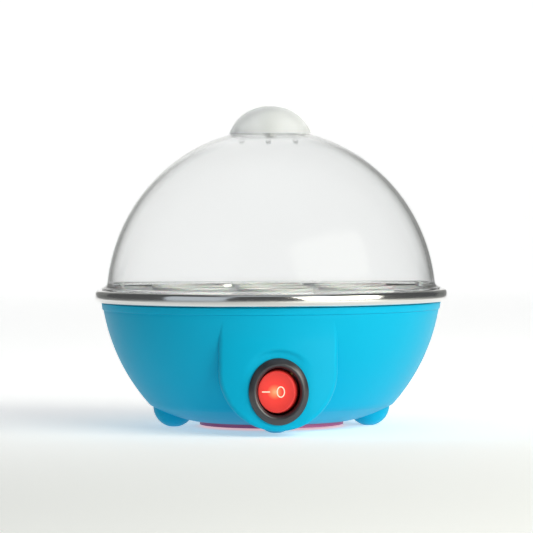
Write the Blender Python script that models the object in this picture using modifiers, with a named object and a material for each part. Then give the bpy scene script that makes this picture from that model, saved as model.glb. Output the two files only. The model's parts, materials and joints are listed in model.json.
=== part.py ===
"""Egg cooker: clear domed lid, egg tray, steel pan with its heater, and a plastic base with a switch."""

import math

import bmesh
import bpy
from mathutils import Matrix, Vector

MM = 0.001

# Clearances
GAP = 0.3 * MM
LOOSE = 0.8 * MM

# Steel pan
PAN_RIM_RADIUS = 88.0 * MM
PAN_RIM_TOP = 68.6 * MM
PAN_BEAD_RADIUS = 3.1 * MM
PAN_SHEET = 0.8 * MM
PAN_FLOOR_RADIUS = 65.0 * MM
PAN_CORNER = 10.0 * MM
PAN_LEDGE = 3.2 * MM
PAN_LEDGE_DROP = 5.2 * MM

# Housing
WALL = 2.4 * MM
WALL_ARC_RADIUS = 95.17 * MM
RIM_OVERHANG = 2.8 * MM
WALL_ARC_Z = 74.5 * MM
COLLAR_HEIGHT = 3.4 * MM
COLLAR_PROUD = 0.5 * MM
BOWL_TURN_Z = 11.0 * MM
BOWL_BOTTOM_Z = 2.8 * MM
COVER_RADIUS = 36.0 * MM
COVER_LEDGE = 7.0 * MM
COVER_THICK = 3.2 * MM
COVER_DROP = 1.8 * MM

# Fascia on the front of the housing
FASCIA_SET_IN = 2.9 * MM
FASCIA_HALF_WIDTH = 28.6 * MM
FASCIA_BOTTOM_Z = 2.8 * MM
FASCIA_TOP_Z = 56.0 * MM
LAND_TOP_Z = 40.5 * MM
LAND_DEPTH = 1.3 * MM

# Switch
SWITCH_Z = 21.9 * MM
OVAL = 1.12
BEZEL_HALF_WIDTH = 14.4 * MM
BEZEL_THICK = 2.7 * MM
SWITCH_BODY_HALF = 12.1 * MM
SWITCH_BODY_DEPTH = 20.0 * MM
SWITCH_ROOM = 0.35 * MM
WELL_HALF = 10.2 * MM
WELL_FLOOR = 2.5 * MM
ROCKER_TILT = math.radians(10.0)
ROCKER_FACE_HALF = 8.9 * MM
ROCKER_SKIRT_HALF = 9.6 * MM
ROCKER_HEIGHT = 7.0 * MM
ROCKER_PROUD = 0.9 * MM
ROCKER_WALL = 1.4 * MM
ROCKER_PIN_RADIUS = 1.2 * MM
PLUNGER_Z = 5.6 * MM
PLUNGER_RADIUS = 1.1 * MM
TAB_PITCH = 7.0 * MM
TAB_LENGTH = 10.0 * MM
CONTACT_TILT = math.radians(6.0)

# Feet
FOOT_CIRCLE = 48.8 * MM
FOOT_RADIUS = 10.4 * MM
FOOT_FLAT_DROP = 0.3 * MM
FOOT_PEG_RADIUS = 2.7 * MM
FOOT_PEG_TOP = 3.0 * MM

# Lid
DOME_SET_OUT = 0.77 * MM
DOME_HALF_HEIGHT = 86.27 * MM
DOME_CENTRE_Z = 62.25 * MM
DOME_WALL = 2.0 * MM
DOME_FLARE_Z = 72.3 * MM
LID_LIP_DEPTH = 2.6 * MM
KNOB_SPHERE = 20.4 * MM
KNOB_TOP_Z = 159.9 * MM
KNOB_EDGE_RADIUS = 20.5 * MM
KNOB_WALL = 1.8 * MM
KNOB_POST_RADIUS = 4.2 * MM
KNOB_SCREW_RADIUS = 1.5 * MM
VENT_RADIUS = 1.3 * MM
VENT_CIRCLE = 24.0 * MM

# Egg tray
TRAY_THICK = 1.6 * MM
EGG_CIRCLE = 47.5 * MM
EGG_HOLE_RADIUS = 16.5 * MM
EGG_COLLAR_WALL = 1.8 * MM
EGG_COLLAR_HEIGHT = 4.0 * MM
TRAY_RIM_WIDTH = 6.5 * MM
TRAY_STEP = 2.0 * MM
TRAY_SLOT = 3.0 * MM
TRAY_SLOT_LENGTH = 8.0 * MM

# Heater
PLATE_RADIUS = 46.0 * MM
PLATE_THICK = 4.0 * MM
ELEMENT_CIRCLE = 34.0 * MM
ELEMENT_RADIUS = 3.2 * MM
ELEMENT_GAP_ANGLE = math.radians(24.0)
STUD_SPACING = 20.0 * MM
STUD_RADIUS = 2.0 * MM
STRAP_Z = 24.0 * MM
STRAP_THICK = 1.5 * MM
STRAP_WIDTH = 14.0 * MM
STRAP_POST = 60.0 * MM
POST_RADIUS = 4.0 * MM
SCREW_RADIUS = 1.5 * MM
SCREW_HEAD = 3.0 * MM
NUT_RADIUS = 3.8 * MM
NUT_THICK = 3.0 * MM
THERMOSTAT_RADIUS = 8.0 * MM
THERMOSTAT_HEIGHT = 8.0 * MM
THERMOSTAT_Y = 18.0 * MM
FUSE_RADIUS = 2.0 * MM
FUSE_LENGTH = 12.0 * MM
FUSE_Y = -17.0 * MM

# Wiring and cord gland
WIRE_RADIUS = 1.1 * MM
WIRE_END = 1.2 * MM
GLAND_Z = 19.5 * MM
GLAND_BOSS_RADIUS = 8.0 * MM
GLAND_RADIUS = 4.5 * MM
CORD_HOLE_RADIUS = 3.3 * MM

# Turning steps
ROUND_LARGE = 32
ROUND_MEDIUM = 24
ROUND_SMALL = 12

# Turns the seams of rods a little, so that no corner of one lies on a neighbour's seam
SEAM_TURN = math.radians(3.0)

# Derived places
WALL_BULGE = PAN_RIM_RADIUS - RIM_OVERHANG
FASCIA_RADIUS = WALL_BULGE - FASCIA_SET_IN
BEAD_CENTRE_RADIUS = PAN_RIM_RADIUS - PAN_BEAD_RADIUS
BEAD_CENTRE_Z = PAN_RIM_TOP - PAN_BEAD_RADIUS
PAN_MOUTH_RADIUS = BEAD_CENTRE_RADIUS - PAN_BEAD_RADIUS
DOME_HALF_WIDTH = PAN_MOUTH_RADIUS + DOME_SET_OUT
DOME_FLARE_RADIUS = BEAD_CENTRE_RADIUS - GAP / 3
PAN_LEDGE_Z = PAN_RIM_TOP - PAN_LEDGE_DROP
PAN_FLOOR_Z = SWITCH_Z + SWITCH_BODY_HALF * OVAL + SWITCH_ROOM + PAN_SHEET
HOUSING_TOP_Z = PAN_RIM_TOP - 2 * PAN_BEAD_RADIUS - GAP
PLATE_TOP_Z = PAN_FLOOR_Z - PAN_SHEET - GAP
PLATE_BOTTOM_Z = PLATE_TOP_Z - PLATE_THICK
LAND_Y = -(FASCIA_RADIUS - LAND_DEPTH)
BEZEL_BACK_Y = LAND_Y - GAP
BEZEL_FRONT_Y = BEZEL_BACK_Y - BEZEL_THICK
ROCKER_Y = BEZEL_FRONT_Y - ROCKER_PROUD + (
    ROCKER_FACE_HALF * math.sin(ROCKER_TILT) + ROCKER_HEIGHT * math.cos(ROCKER_TILT)
)
SWITCH_BACK_Y = LAND_Y + SWITCH_BODY_DEPTH
TRAY_Z = PAN_LEDGE_Z + GAP
LID_SEAT_Z = PAN_RIM_TOP + GAP
COVER_BOTTOM_Z = BOWL_BOTTOM_Z - COVER_DROP
COVER_TOP_Z = COVER_BOTTOM_Z + COVER_THICK
COVER_SCREW_CIRCLE = COVER_RADIUS - COVER_LEDGE / 2
LEDGE_TOP_Z = COVER_TOP_Z + GAP + WALL
COVER_BOSS_TOP_Z = LEDGE_TOP_Z + COVER_LEDGE

QUARTER = math.pi / 2
SIDES = {"front": -QUARTER, "right": 0.0, "rear": QUARTER, "left": math.pi}

parts = None
cutters = None


# Scene and materials

def clear_scene():
    for thing in list(bpy.data.objects):
        bpy.data.objects.remove(thing, do_unlink=True)


def new_collection(name):
    collection = bpy.data.collections.new(name)
    bpy.context.scene.collection.children.link(collection)
    return collection


def material(name, colour, roughness, metallic=0.0, transmission=0.0):
    found = bpy.data.materials.get(name)
    if found:
        return found
    made = bpy.data.materials.new(name)
    made.use_nodes = True
    shader = made.node_tree.nodes["Principled BSDF"]
    shader.inputs["Base Color"].default_value = (*colour, 1.0)
    shader.inputs["Roughness"].default_value = roughness
    shader.inputs["Metallic"].default_value = metallic
    shader.inputs["Transmission Weight"].default_value = transmission
    return made


def clear_plastic():
    return material("clear_plastic", (0.92, 0.93, 0.93), 0.12, transmission=0.9)


def frosted_plastic():
    return material("frosted_plastic", (0.88, 0.89, 0.89), 0.35, transmission=0.5)


def tray_plastic():
    return material("tray_plastic", (0.85, 0.85, 0.84), 0.4)


def blue_plastic():
    return material("blue_plastic", (0.0, 0.42, 0.68), 0.35)


def pink_plastic():
    return material("pink_plastic", (0.62, 0.12, 0.28), 0.45)


def black_plastic():
    return material("black_plastic", (0.02, 0.02, 0.025), 0.4)


def red_plastic():
    return material("red_plastic", (0.75, 0.03, 0.02), 0.3, transmission=0.3)


def steel():
    return material("steel", (0.62, 0.61, 0.6), 0.22, metallic=1.0)


def aluminium():
    return material("aluminium", (0.75, 0.75, 0.76), 0.4, metallic=1.0)


def brass():
    return material("brass", (0.72, 0.52, 0.2), 0.3, metallic=1.0)


def rubber():
    return material("rubber", (0.03, 0.03, 0.03), 0.8)


def ceramic():
    return material("ceramic", (0.8, 0.78, 0.72), 0.6)


def glass():
    return material("lamp_glass", (0.95, 0.8, 0.6), 0.1, transmission=0.9)


def wire_cover(name, colour):
    return material(name, colour, 0.5)


# Making shapes

def add_object(name, mesh, look=None):
    made = bpy.data.objects.new(name, mesh)
    (parts if look else cutters).objects.link(made)
    if look:
        made.data.materials.append(look)
    else:
        made.hide_render = True
        made.display_type = "WIRE"
    return made


def smooth(thing):
    thing.data.shade_smooth()
    thing.data.set_sharp_from_angle(angle=math.radians(35))


def turned(name, outline, look=None, steps=ROUND_LARGE, ring=False):
    """Turns an outline of (radius, height) about Z, down the outer side. A ring also joins its ends."""
    mesh = bpy.data.meshes.new(name)
    points = [(radius, 0.0, height) for radius, height in outline]
    edges = [(at, at + 1) for at in range(len(points) - 1)]
    if ring:
        edges.append((len(points) - 1, 0))
    mesh.from_pydata(points, edges, [])
    thing = add_object(name, mesh, look)
    screw = thing.modifiers.new("turn", "SCREW")
    screw.axis = "Z"
    screw.angle = math.tau
    screw.steps = steps
    screw.render_steps = steps
    screw.use_merge_vertices = True
    screw.merge_threshold = 0.00005
    screw.use_smooth_shade = True
    return thing


def box(name, low, high, look=None):
    mesh = bpy.data.meshes.new(name)
    form = bmesh.new()
    bmesh.ops.create_cube(form, size=1.0)
    size = Vector(high) - Vector(low)
    bmesh.ops.scale(form, vec=size, verts=form.verts)
    bmesh.ops.translate(form, vec=(Vector(low) + Vector(high)) / 2, verts=form.verts)
    form.to_mesh(mesh)
    form.free()
    return add_object(name, mesh, look)


def rod(name, start, end, radius, look=None, end_radius=None, steps=ROUND_SMALL, stretch=1.0):
    """A cylinder or cone between two points; stretch makes it oval along world Z."""
    mesh = bpy.data.meshes.new(name)
    form = bmesh.new()
    along = Vector(end) - Vector(start)
    bmesh.ops.create_cone(
        form, cap_ends=True, segments=steps, radius1=radius,
        radius2=radius if end_radius is None else end_radius, depth=along.length,
    )
    turn = along.to_track_quat("Z", "Y").to_matrix().to_4x4() @ Matrix.Rotation(SEAM_TURN, 4, "Z")
    bmesh.ops.transform(form, matrix=turn, verts=form.verts)
    bmesh.ops.scale(form, vec=(1.0, 1.0, stretch), verts=form.verts)
    bmesh.ops.translate(form, vec=(Vector(start) + Vector(end)) / 2, verts=form.verts)
    form.to_mesh(mesh)
    form.free()
    thing = add_object(name, mesh, look)
    smooth(thing)
    return thing


def tube(name, route, radius, look=None, sides=2):
    """A round wire through the points, as a mesh with welded caps."""
    curve = bpy.data.curves.new(name, "CURVE")
    curve.dimensions = "3D"
    curve.bevel_depth = radius
    curve.bevel_resolution = sides
    curve.use_fill_caps = True
    spline = curve.splines.new("POLY")
    spline.points.add(len(route) - 1)
    for point, place in zip(spline.points, route):
        point.co = (*place, 1.0)
    holder = bpy.data.objects.new(name, curve)
    bpy.context.scene.collection.objects.link(holder)
    evaluated = holder.evaluated_get(bpy.context.evaluated_depsgraph_get())
    mesh = bpy.data.meshes.new_from_object(evaluated)
    mesh.materials.clear()
    form = bmesh.new()
    form.from_mesh(mesh)
    bmesh.ops.remove_doubles(form, verts=form.verts, dist=0.00001)
    bmesh.ops.recalc_face_normals(form, faces=form.faces)
    form.to_mesh(mesh)
    form.free()
    bpy.data.objects.remove(holder, do_unlink=True)
    mesh.name = name
    thing = add_object(name, mesh, look)
    smooth(thing)
    return thing


def bent_route(points, count=10):
    """Points evenly along a smooth curve through the given ones."""
    knots = [Vector(point) for point in points]
    knots = [knots[0] * 2 - knots[1], *knots, knots[-1] * 2 - knots[-2]]
    spans = len(knots) - 3
    route = []
    for step in range(count + 1):
        place = step / count * spans
        span = min(int(place), spans - 1)
        t = place - span
        a, b, c, d = knots[span:span + 4]
        route.append(0.5 * (2 * b + (c - a) * t + (2 * a - 5 * b + 4 * c - d) * t ** 2
                            + (3 * b - a - 3 * c + d) * t ** 3))
    return route


def rounded(thing, width):
    """Rounds the sharp edges of a rod or a box."""
    bevel = thing.modifiers.new("rounded", "BEVEL")
    bevel.width = width
    bevel.segments = 1
    bevel.limit_method = "ANGLE"
    bevel.angle_limit = math.radians(35)


def combine(thing, other, how):
    """A Boolean of the other object, which goes with the cutters."""
    cut = thing.modifiers.new(f"{how.lower()}_{other.name}", "BOOLEAN")
    cut.operation = how
    cut.solver = "EXACT"
    cut.object = other
    return thing


def cut(thing, *others):
    for other in others:
        combine(thing, other, "DIFFERENCE")
    return thing


def join(thing, *others):
    for other in others:
        combine(thing, other, "UNION")
    return thing


def arc(centre, radius, first, last, count, stretch=1.0):
    """Points on an arc of (radius, height), angles in degrees from the +X side."""
    points = []
    for step in range(count + 1):
        angle = math.radians(first + (last - first) * step / count)
        points.append((centre[0] + radius * math.cos(angle), centre[1] + radius * stretch * math.sin(angle)))
    return points


def polar(radius, angle, height=0.0):
    return (radius * math.cos(angle), radius * math.sin(angle), height)


def slab(name, outline, low, high, look=None):
    """A flat outline in X and Z, made thick along Y from low to high."""
    curve = bpy.data.curves.new(name, "CURVE")
    curve.dimensions = "2D"
    curve.fill_mode = "BOTH"
    curve.extrude = (high - low) / 2
    spline = curve.splines.new("POLY")
    spline.points.add(len(outline) - 1)
    for point, (across, up) in zip(spline.points, outline):
        point.co = (across, up, 0.0, 1.0)
    spline.use_cyclic_u = True
    holder = bpy.data.objects.new(name, curve)
    bpy.context.scene.collection.objects.link(holder)
    evaluated = holder.evaluated_get(bpy.context.evaluated_depsgraph_get())
    mesh = bpy.data.meshes.new_from_object(evaluated)
    mesh.materials.clear()
    form = bmesh.new()
    form.from_mesh(mesh)
    bmesh.ops.remove_doubles(form, verts=form.verts, dist=0.00001)
    stand = Matrix.Translation((0.0, (low + high) / 2, 0.0)) @ Matrix.Rotation(QUARTER, 4, "X")
    bmesh.ops.transform(form, matrix=stand, verts=form.verts)
    bmesh.ops.recalc_face_normals(form, faces=form.faces)
    form.to_mesh(mesh)
    form.free()
    bpy.data.objects.remove(holder, do_unlink=True)
    return add_object(name, mesh, look)


# Profiles of the housing

def wall_radius(height):
    """Outer radius of the housing wall, an arc of a large circle, at a height."""
    across = math.sqrt(WALL_ARC_RADIUS ** 2 - (height - WALL_ARC_Z) ** 2)
    return WALL_BULGE - WALL_ARC_RADIUS + across


def gland_face():
    """How far back the flat face of the cord boss lies, just clear of the wall above it."""
    return wall_radius(GLAND_Z + GLAND_BOSS_RADIUS) + LOOSE


def moved(path, distance):
    """A downward path moved towards the axis side by a distance, or away from it when negative."""
    shifted = []
    for at, point in enumerate(path):
        before = Vector(path[max(at - 1, 0)])
        after = Vector(path[min(at + 1, len(path) - 1)])
        along = (after - before).normalized()
        shifted.append((point[0] + along.y * distance, point[1] - along.x * distance))
    return shifted


def bowl_path(top, steps=7):
    """The outer side of the bowl, from the top edge down to the cover opening."""
    path = []
    for step in range(steps + 1):
        height = top + (BOWL_TURN_Z - top) * step / steps
        path.append((wall_radius(height), height))
    inner = COVER_RADIUS + 2 * GAP
    outer = wall_radius(BOWL_TURN_Z)
    for step in range(1, 5):
        share = 1 - step / 4
        radius = inner + (outer - inner) * share
        path.append((radius, BOWL_BOTTOM_Z + (BOWL_TURN_Z - BOWL_BOTTOM_Z) * share ** 1.6))
    return path


def fascia_outline(inset, top):
    """A tongue with straight sides and a half-round end, in X and Z."""
    half = FASCIA_HALF_WIDTH - inset
    middle = FASCIA_BOTTOM_Z + FASCIA_HALF_WIDTH
    return [(half, top), *arc((0.0, middle), half, 0, -180, 18), (-half, top)]


def fascia_block(name, inset, radius, top):
    """The tongue, from inside the bowl out to an upright cylinder face."""
    block = turned(name, [(0.0, top), (radius, top), (radius, -LOOSE), (0.0, -LOOSE)])
    outline = slab(f"{name}_outline", fascia_outline(inset, top + LOOSE), -PAN_RIM_RADIUS, -FOOT_CIRCLE / 2)
    return combine(block, outline, "INTERSECT")


# The housing and what is fixed to it

def foot_places():
    return {side: polar(FOOT_CIRCLE, angle) for side, angle in SIDES.items()}


def cover_screw_places():
    return [polar(COVER_SCREW_CIRCLE, QUARTER + at * math.tau / 3) for at in range(3)]


def strap_screw_places():
    return [(side * STRAP_POST, 0.0, 0.0) for side in (-1, 1)]


def upright(name, place, low, high, radius, look=None, **more):
    return rod(name, (place[0], place[1], low), (place[0], place[1], high), radius, look, **more)


def make_housing():
    top = HOUSING_TOP_Z
    collar = top - COLLAR_HEIGHT
    edge = wall_radius(top)
    path = [
        (edge, top),
        (edge + COLLAR_PROUD, top - COLLAR_PROUD),
        (wall_radius(collar) + COLLAR_PROUD, collar + COLLAR_PROUD),
        *bowl_path(collar),
    ]
    housing = turned("base_housing", [(0.0, top), *path, (0.0, BOWL_BOTTOM_Z)], blue_plastic())

    fascia = fascia_block("fascia_form", 0.0, FASCIA_RADIUS, FASCIA_TOP_Z)
    land_side = FASCIA_HALF_WIDTH - WALL / 2
    land = box("fascia_land", (-land_side, -PAN_RIM_RADIUS, -LOOSE), (land_side, LAND_Y, LAND_TOP_Z))
    cut(fascia, land)
    boss = rod("gland_boss", (0.0, FOOT_CIRCLE, GLAND_Z), (0.0, gland_face(), GLAND_Z), GLAND_BOSS_RADIUS,
               steps=ROUND_MEDIUM)
    join(housing, fascia, boss)

    inner = moved(bowl_path(top + LOOSE), WALL)
    floor = inner[-1][1]
    cavity = turned("housing_cavity", [(0.0, top + LOOSE), *inner, (0.0, floor)])
    cavity_radius = FASCIA_RADIUS - LAND_DEPTH - WALL
    fascia_cavity = fascia_block("fascia_cavity", WALL, cavity_radius, FASCIA_TOP_Z - WALL)
    join(cavity, fascia_cavity)
    ledge_top = LEDGE_TOP_Z
    ledge = turned("cover_ledge", [
        (COVER_RADIUS + WALL, ledge_top), (COVER_RADIUS + WALL, 0.0),
        (COVER_RADIUS - COVER_LEDGE - LOOSE, 0.0), (COVER_RADIUS - COVER_LEDGE - LOOSE, ledge_top),
    ], ring=True)
    kept = [ledge]
    for at, place in enumerate(cover_screw_places()):
        kept.append(upright(f"cover_boss_{at + 1}", place, 0.0, COVER_BOSS_TOP_Z, COVER_LEDGE / 2 - GAP))
    for at, place in enumerate(strap_screw_places()):
        kept.append(upright(f"strap_post_{at + 1}", place, 0.0, STRAP_Z - GAP, POST_RADIUS))
    cut(cavity, *kept)
    cut(housing, cavity)

    seat = turned("cover_seat", [
        (0.0, COVER_TOP_Z + GAP), (COVER_RADIUS + GAP, COVER_TOP_Z + GAP),
        (COVER_RADIUS + GAP, -LOOSE), (0.0, -LOOSE),
    ])
    mouth = upright("cover_mouth", (0.0, 0.0), 0.0, ledge_top + LOOSE, COVER_RADIUS - COVER_LEDGE,
                    steps=ROUND_LARGE)
    switch_hole = rod("switch_hole", (0.0, -PAN_RIM_RADIUS, SWITCH_Z), (0.0, SWITCH_BACK_Y - WALL, SWITCH_Z),
                      SWITCH_BODY_HALF + GAP, steps=ROUND_MEDIUM, stretch=OVAL)
    gland_hole = rod("gland_hole", (0.0, FOOT_CIRCLE, GLAND_Z), (0.0, gland_face() + LOOSE, GLAND_Z),
                     GLAND_RADIUS + GAP)
    cut(housing, seat, mouth, switch_hole, gland_hole)
    for at, place in enumerate(cover_screw_places()):
        cut(housing, upright(f"cover_boss_hole_{at + 1}", place, 0.0, COVER_BOSS_TOP_Z - WALL,
                             SCREW_RADIUS + GAP, steps=12))
    for at, place in enumerate(strap_screw_places()):
        cut(housing, upright(f"strap_post_hole_{at + 1}", place, BOWL_TURN_Z + 2 * WALL, STRAP_Z,
                             SCREW_RADIUS + GAP, steps=12))
    for side, place in foot_places().items():
        cut(housing, upright(f"{side}_peg_hole", place, 0.0, BOWL_TURN_Z + WALL, FOOT_PEG_RADIUS + GAP))


def make_feet():
    centre = FOOT_RADIUS - FOOT_FLAT_DROP
    flat = math.sqrt(FOOT_RADIUS ** 2 - centre ** 2)
    low_angle = math.degrees(-math.acos(flat / FOOT_RADIUS))
    ball = [(0.0, centre + FOOT_RADIUS), *arc((0.0, centre), FOOT_RADIUS, 60, low_angle, 7), (0.0, 0.0)]
    top = HOUSING_TOP_Z
    around = moved(bowl_path(top), -GAP)
    envelope = turned("foot_clearance", [(0.0, top), *around, (0.0, around[-1][1])])
    tongue = slab("front_foot_clearance", fascia_outline(-GAP, top), -PAN_RIM_RADIUS, -COVER_RADIUS)
    for side, place in foot_places().items():
        foot = turned(f"foot_{side}", ball, blue_plastic(), steps=18)
        foot.location = place
        cut(foot, envelope)
        wall_top = BOWL_TURN_Z + LOOSE
        if side == "front":
            cut(foot, tongue)
            wall_top = FASCIA_BOTTOM_Z + WALL + FOOT_PEG_TOP / 2
        low = FASCIA_BOTTOM_Z / 2
        peg = upright(f"{side}_peg", place, low, wall_top + FOOT_PEG_TOP / 2, FOOT_PEG_RADIUS)
        barb = upright(f"{side}_barb", place, wall_top, wall_top + FOOT_PEG_TOP, FOOT_PEG_RADIUS + LOOSE,
                       end_radius=FOOT_PEG_RADIUS - LOOSE)
        join(foot, peg, barb)


def screw(name, place, seat, tip, look):
    """A pan-head screw whose head rests against the height seat and whose shank reaches tip."""
    way = 1 if tip > seat else -1
    head = seat - way * SCREW_HEAD * 0.6
    outline = [(0.0, tip), (SCREW_RADIUS * 0.6, tip), (SCREW_RADIUS, tip - way * SCREW_RADIUS),
               (SCREW_RADIUS, seat), (SCREW_HEAD, seat), (SCREW_HEAD * 0.9, (seat + head) / 2),
               (SCREW_HEAD * 0.6, head), (0.0, head)]
    if way < 0:
        outline.reverse()
    made = turned(name, outline, look, steps=12)
    made.location = (place[0], place[1], 0.0)


def make_cover():
    cover = upright("base_cover", (0.0, 0.0), COVER_BOTTOM_Z, COVER_TOP_Z, COVER_RADIUS, pink_plastic(),
                    steps=ROUND_LARGE)
    rounded(cover, COVER_DROP / 2)
    for at in range(-2, 3):
        middle = at * TRAY_SLOT * 2
        cut(cover, box(f"cover_vent_{at + 3}", (-COVER_RADIUS / 3, middle - LOOSE, 0.0),
                       (COVER_RADIUS / 3, middle + LOOSE, COVER_TOP_Z + LOOSE)))
    seat = COVER_BOTTOM_Z + SCREW_HEAD * 0.6 + LOOSE / 2
    for at, place in enumerate(cover_screw_places()):
        cut(cover,
            upright(f"cover_hole_{at + 1}", place, 0.0, COVER_TOP_Z + LOOSE, SCREW_RADIUS + GAP, steps=12),
            upright(f"cover_sink_{at + 1}", place, 0.0, seat + GAP, SCREW_HEAD + GAP))
        screw(f"cover_screw_{at + 1}", place, seat, COVER_BOSS_TOP_Z - WALL - GAP, steel())


def make_gland():
    flange = GLAND_RADIUS + 2 * LOOSE
    inner_end = FOOT_CIRCLE + 2 * WALL - gland_face()
    gland = turned("cord_gland", [
        (flange, 2 * LOOSE), (flange + GAP, GAP + LOOSE), (flange + GAP, GAP), (GLAND_RADIUS, GAP),
        (GLAND_RADIUS, inner_end), (CORD_HOLE_RADIUS, inner_end), (CORD_HOLE_RADIUS, 2 * LOOSE),
    ], rubber(), steps=ROUND_SMALL, ring=True)
    gland.location = (0.0, gland_face(), GLAND_Z)
    gland.rotation_euler = (-QUARTER, 0.0, 0.0)


# The pan and the heater

def make_pan():
    corner = arc((PAN_FLOOR_RADIUS, PAN_FLOOR_Z + PAN_CORNER), PAN_CORNER, -90, -8, 3)
    bead = arc((BEAD_CENTRE_RADIUS, BEAD_CENTRE_Z), PAN_BEAD_RADIUS, 180, -120, 10)
    inside = [
        (0.0, PAN_FLOOR_Z), *corner,
        (PAN_MOUTH_RADIUS - PAN_LEDGE, PAN_LEDGE_Z - LOOSE),
        (PAN_MOUTH_RADIUS - PAN_LEDGE + LOOSE, PAN_LEDGE_Z),
        (PAN_MOUTH_RADIUS - LOOSE / 2, PAN_LEDGE_Z), (PAN_MOUTH_RADIUS, PAN_LEDGE_Z + LOOSE / 2), *bead,
    ]
    outside = moved(inside, PAN_SHEET)
    outside[0] = (0.0, PAN_FLOOR_Z - PAN_SHEET)
    turned("heating_pan", [*inside, *reversed(outside)], steel())


def make_heater():
    plate = upright("heater_plate", (0.0, 0.0), PLATE_BOTTOM_Z, PLATE_TOP_Z, PLATE_RADIUS, aluminium(),
                    steps=ROUND_LARGE)
    centre_z = PLATE_BOTTOM_Z - LOOSE
    groove_side = arc((ELEMENT_CIRCLE, centre_z), ELEMENT_RADIUS + 2 * GAP, 180, -135, 7)
    groove = turned("element_groove", groove_side,
                    steps=ROUND_MEDIUM, ring=True)
    cut(plate, groove)
    for name, x in (("left", -STUD_SPACING), ("right", STUD_SPACING)):
        place = (x, 0.0)
        cut(plate, upright(f"stud_hole_{name}", place, PLATE_BOTTOM_Z - LOOSE, PLATE_TOP_Z - LOOSE,
                           STUD_RADIUS + GAP, steps=12))
        nut_low = STRAP_Z - GAP - NUT_THICK
        upright(f"plate_stud_{name}", place, nut_low - 2 * LOOSE, PLATE_TOP_Z - LOOSE - GAP, STUD_RADIUS,
                steel(), steps=12)
        nut = upright(f"strap_nut_{name}", place, nut_low, nut_low + NUT_THICK, NUT_RADIUS, steel(), steps=6)
        cut(nut, upright(f"nut_bore_{name}", place, nut_low - LOOSE, STRAP_Z, STUD_RADIUS + GAP, steps=12))

    ends = []
    for way in (-1, 1):
        angle = QUARTER - way * ELEMENT_GAP_ANGLE
        ends.append(polar(ELEMENT_CIRCLE, angle, centre_z))
    drop = Vector((0.0, 0.0, -ELEMENT_RADIUS * 2.4))
    sweep = math.tau - 2 * ELEMENT_GAP_ANGLE
    turn = [QUARTER + ELEMENT_GAP_ANGLE + sweep * at / 20 for at in range(21)]
    ring = [polar(ELEMENT_CIRCLE, angle, centre_z) for angle in turn]
    tube("heater_element", [Vector(ends[0]) + drop, *ring, Vector(ends[1]) + drop], ELEMENT_RADIUS, steel())

    strap_end = STRAP_POST + POST_RADIUS + LOOSE
    strap = box("retaining_strap", (-strap_end, -STRAP_WIDTH / 2, STRAP_Z),
                (strap_end, STRAP_WIDTH / 2, STRAP_Z + STRAP_THICK), steel())
    for at, x in enumerate((-STUD_SPACING, STUD_SPACING)):
        cut(strap, upright(f"strap_stud_hole_{at + 1}", (x, 0.0), STRAP_Z - LOOSE, STRAP_Z + 3 * LOOSE,
                           STUD_RADIUS + GAP, steps=12))
    for at, place in enumerate(strap_screw_places()):
        cut(strap, upright(f"strap_hole_{at + 1}", place, STRAP_Z - LOOSE, STRAP_Z + 3 * LOOSE,
                           SCREW_RADIUS + GAP, steps=12))
        screw(f"strap_screw_{at + 1}", place, STRAP_Z + STRAP_THICK + GAP, STRAP_Z - 2 * WALL, steel())
    tag_low = STRAP_Z + STRAP_THICK + GAP
    box("earth_tag", (-STRAP_POST * 0.75, -NUT_RADIUS, tag_low),
        (-STRAP_POST * 0.6, NUT_RADIUS, tag_low + LOOSE), brass())
    return plate


def make_thermostat(plate):
    top = PLATE_BOTTOM_Z - GAP
    body = (0.0, THERMOSTAT_Y)
    bottom = top - THERMOSTAT_HEIGHT
    thermostat = upright("thermostat", body, bottom, top, THERMOSTAT_RADIUS, ceramic(), steps=24)
    join(thermostat, upright("thermostat_cap", body, top - STRAP_THICK, top - GAP / 2,
                             THERMOSTAT_RADIUS + LOOSE, steps=24))
    reach = THERMOSTAT_RADIUS + 3 * SCREW_RADIUS
    low = bottom - GAP - STRAP_THICK
    clamp = box("thermostat_clamp", (-reach - SCREW_HEAD, THERMOSTAT_Y - SCREW_HEAD, low),
                (reach + SCREW_HEAD, THERMOSTAT_Y + SCREW_HEAD, low + STRAP_THICK), steel())
    for at, x in enumerate((-reach, reach)):
        place = (x, THERMOSTAT_Y)
        cut(clamp, upright(f"clamp_hole_{at + 1}", place, low - LOOSE, bottom, SCREW_RADIUS + GAP, steps=12))
        cut(plate, upright(f"clamp_bore_{at + 1}", place, bottom, PLATE_BOTTOM_Z + PLATE_THICK / 2,
                           SCREW_RADIUS + GAP, steps=12))
        screw(f"clamp_screw_{at + 1}", place, low - GAP, PLATE_BOTTOM_Z + PLATE_THICK / 2 - GAP, steel())


def make_fuse():
    z = PLATE_BOTTOM_Z - 2 * GAP - FUSE_RADIUS * 1.5
    rod("thermal_fuse", (-FUSE_LENGTH / 2, FUSE_Y, z), (FUSE_LENGTH / 2, FUSE_Y, z), FUSE_RADIUS, ceramic())
    half = FUSE_RADIUS * 1.8
    clip = box("fuse_clip", (-FUSE_LENGTH / 5, FUSE_Y - half, z - half),
               (FUSE_LENGTH / 5, FUSE_Y + half, PLATE_BOTTOM_Z - GAP), aluminium())
    cut(clip, rod("fuse_bore", (-FUSE_LENGTH, FUSE_Y, z), (FUSE_LENGTH, FUSE_Y, z), FUSE_RADIUS + GAP))


# The switch

def rocker_point(across, forward, up):
    """A point of the rocker at rest, from its pivot."""
    turn = Matrix.Rotation(-ROCKER_TILT, 3, "Z")
    return Vector((0.0, ROCKER_Y, SWITCH_Z)) + turn @ Vector((across, -forward, up))


def face_front(thing, y, tilt=0.0):
    thing.location = (0.0, y, SWITCH_Z)
    thing.rotation_euler = (QUARTER, 0.0, tilt)
    thing.scale = (1.0, OVAL, 1.0)


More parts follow.
